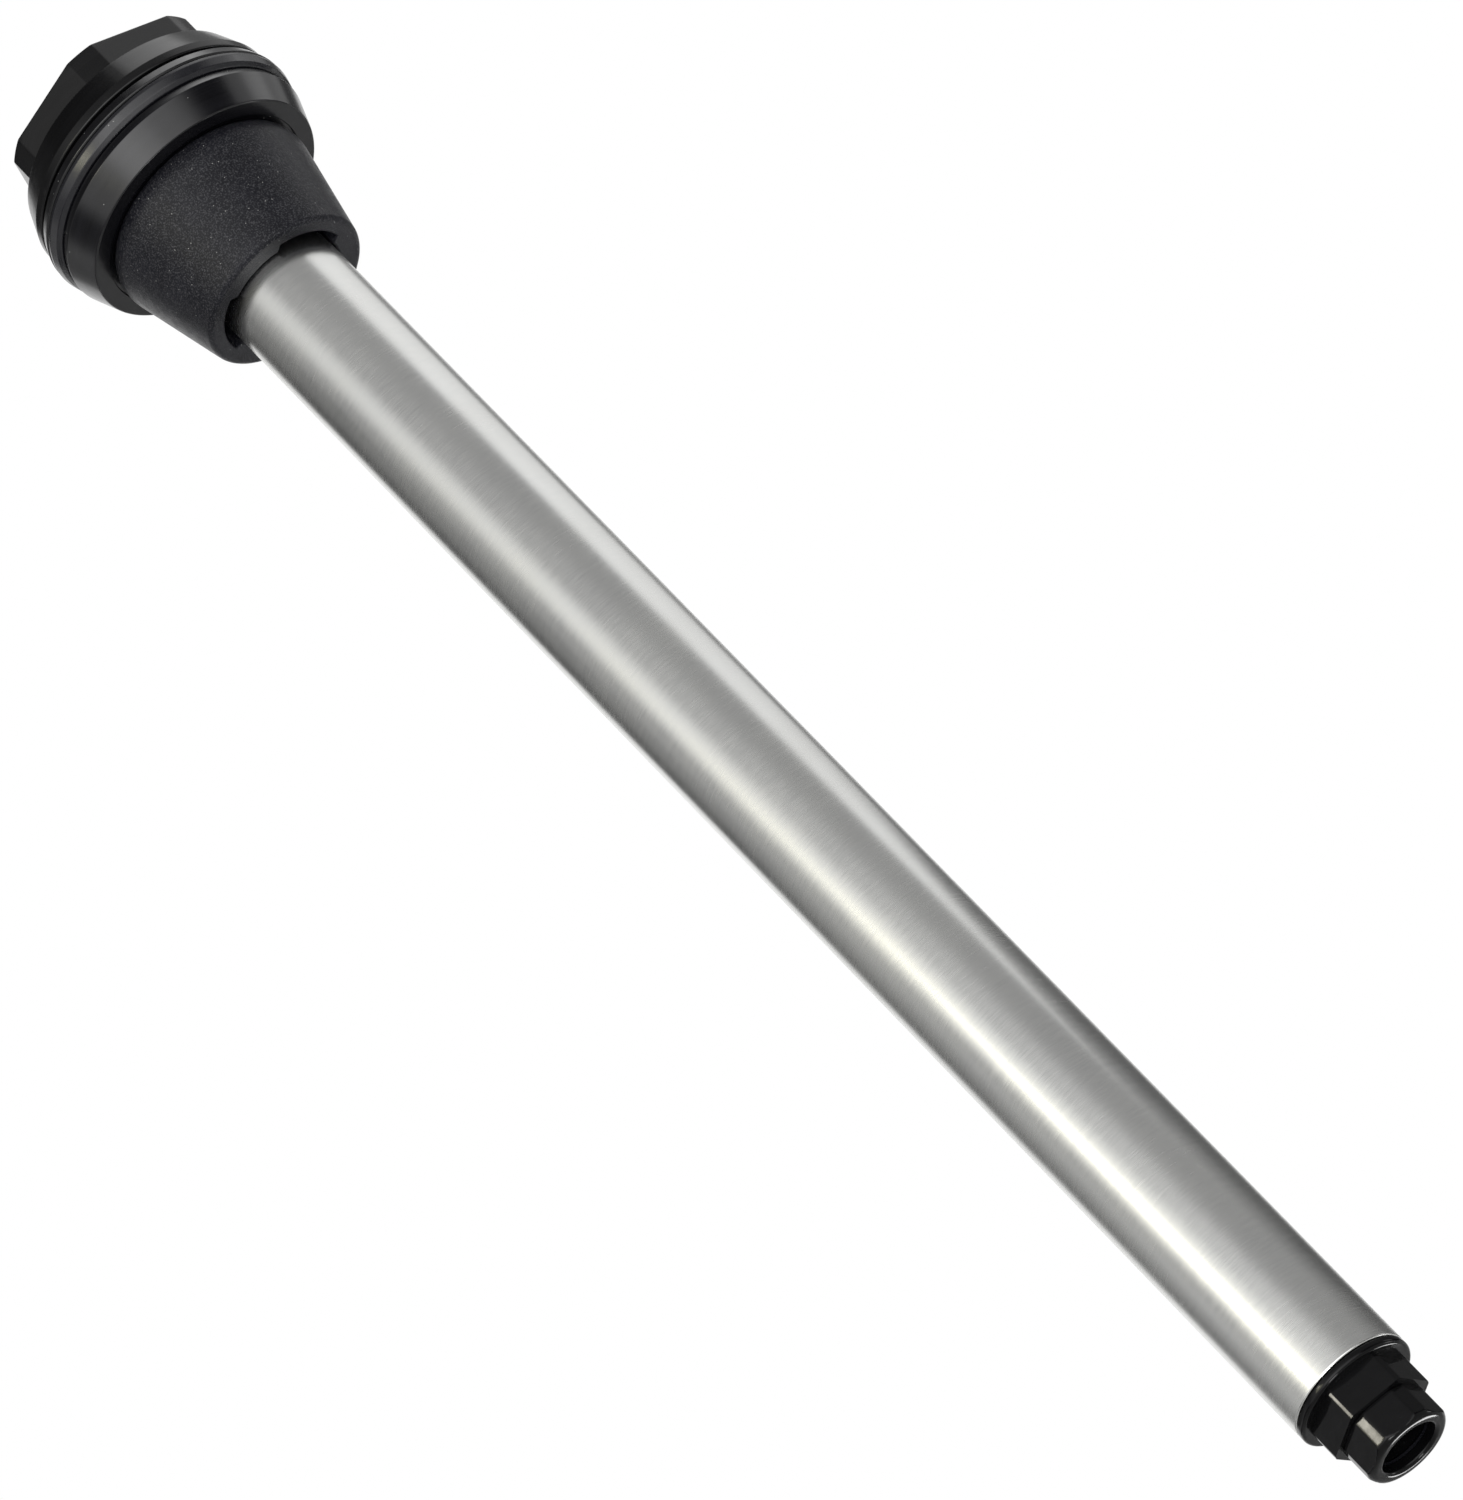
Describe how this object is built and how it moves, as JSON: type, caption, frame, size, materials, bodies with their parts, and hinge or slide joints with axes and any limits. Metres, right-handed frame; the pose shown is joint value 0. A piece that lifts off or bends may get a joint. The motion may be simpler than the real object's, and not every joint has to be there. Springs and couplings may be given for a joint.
{
  "type": "water quality probe",
  "caption": "Slim metal tube probe with a black screw-capped head, a tapered rubber stopper and a hexagonal sensing tip with a removable guard nut.",
  "frame": {"origin": "on the probe's axis, in the plane of the underside of the head's collar", "axes": "+Z along the tube's axis towards the capped head; +X and +Y across it, with a stopper lobe 25 degrees from +X"},
  "size_m": [0.058, 0.058, 0.3891],
  "materials": {
    "satin_steel": "satin",
    "head_plastic": "satin",
    "tip_plastic": "polished",
    "stopper_rubber": "matt",
    "seal_rubber": "matt",
    "washer_plastic": "satin",
    "nylon": "matt",
    "board_green": "satin",
    "chip_black": "matt",
    "tin_plate": "bright",
    "gold_plate": "bright",
    "silver_wire": "bright",
    "cable_jacket": "matt",
    "foam": "matt",
    "electrode_glass": "clear",
    "porous_ceramic": "matt"
  },
  "bodies": {
    "probe": {"probe_tube": "satin_steel", "tube_retaining_clip": "tin_plate", "head_body": "head_plastic", "tube_seal": "seal_rubber", "cap_gasket": "seal_rubber", "inlet_housing": "head_plastic", "inlet_seal": "seal_rubber", "contact_insulator": "washer_plastic", "connector_board": "board_green", "rubber_stopper": "stopper_rubber", "main_board": "board_green", "lead_header_upper": "nylon", "lead_header_lower": "nylon", "microcontroller": "chip_black", "voltage_regulator": "chip_black", "amplifier_shield": "tin_plate", "board_carrier_upper": "nylon", "board_carrier_lower": "nylon", "inlet_lead": "cable_jacket", "sensor_cable": "cable_jacket", "cable_foam": "foam", "tip_adapter": "tip_plastic", "tube_plug_seal_1": "seal_rubber", "tube_plug_seal_2": "seal_rubber", "sensor_carrier": "washer_plastic", "carrier_seal": "seal_rubber", "reference_junction": "porous_ceramic", "temperature_sensor": "tin_plate", "glass_electrode": "electrode_glass", "silver_electrode": "silver_wire", "contact_pin_1": "gold_plate", "contact_pin_2": "gold_plate", "contact_pin_3": "gold_plate", "contact_pin_4": "gold_plate", "contact_pin_5": "gold_plate", "board_screw_1": "tin_plate", "board_screw_2": "tin_plate", "board_screw_3": "tin_plate"},
    "cap_thread": {"thrust_washer": "washer_plastic"},
    "cap": {"cap_nut": "head_plastic"},
    "guard_thread": {"guard_gasket": "seal_rubber"},
    "guard": {"guard_nut": "tip_plastic"}
  },
  "joints": [
    {"name": "cap_travel", "type": "slide", "parent": "probe", "child": "cap_thread", "axis": [0, 0, 1], "range_m": [0, 0.009]},
    {"name": "cap_turn", "type": "hinge", "parent": "cap_thread", "child": "cap", "pos_m": [0, 0, 0.0142], "axis": [0, 0, 1], "range_deg": [0, 1080]},
    {"name": "guard_travel", "type": "slide", "parent": "probe", "child": "guard_thread", "axis": [0, 0, -1], "range_m": [0, 0.00375]},
    {"name": "guard_turn", "type": "hinge", "parent": "guard_thread", "child": "guard", "pos_m": [0, 0, -0.3512], "axis": [0, 0, -1], "range_deg": [0, 900]}
  ],
  "couplings": [
    {"joint": "cap_turn", "follows": "cap_travel", "rad_per_m": 2094.4},
    {"joint": "guard_turn", "follows": "guard_travel", "rad_per_m": 4188.8}
  ]
}
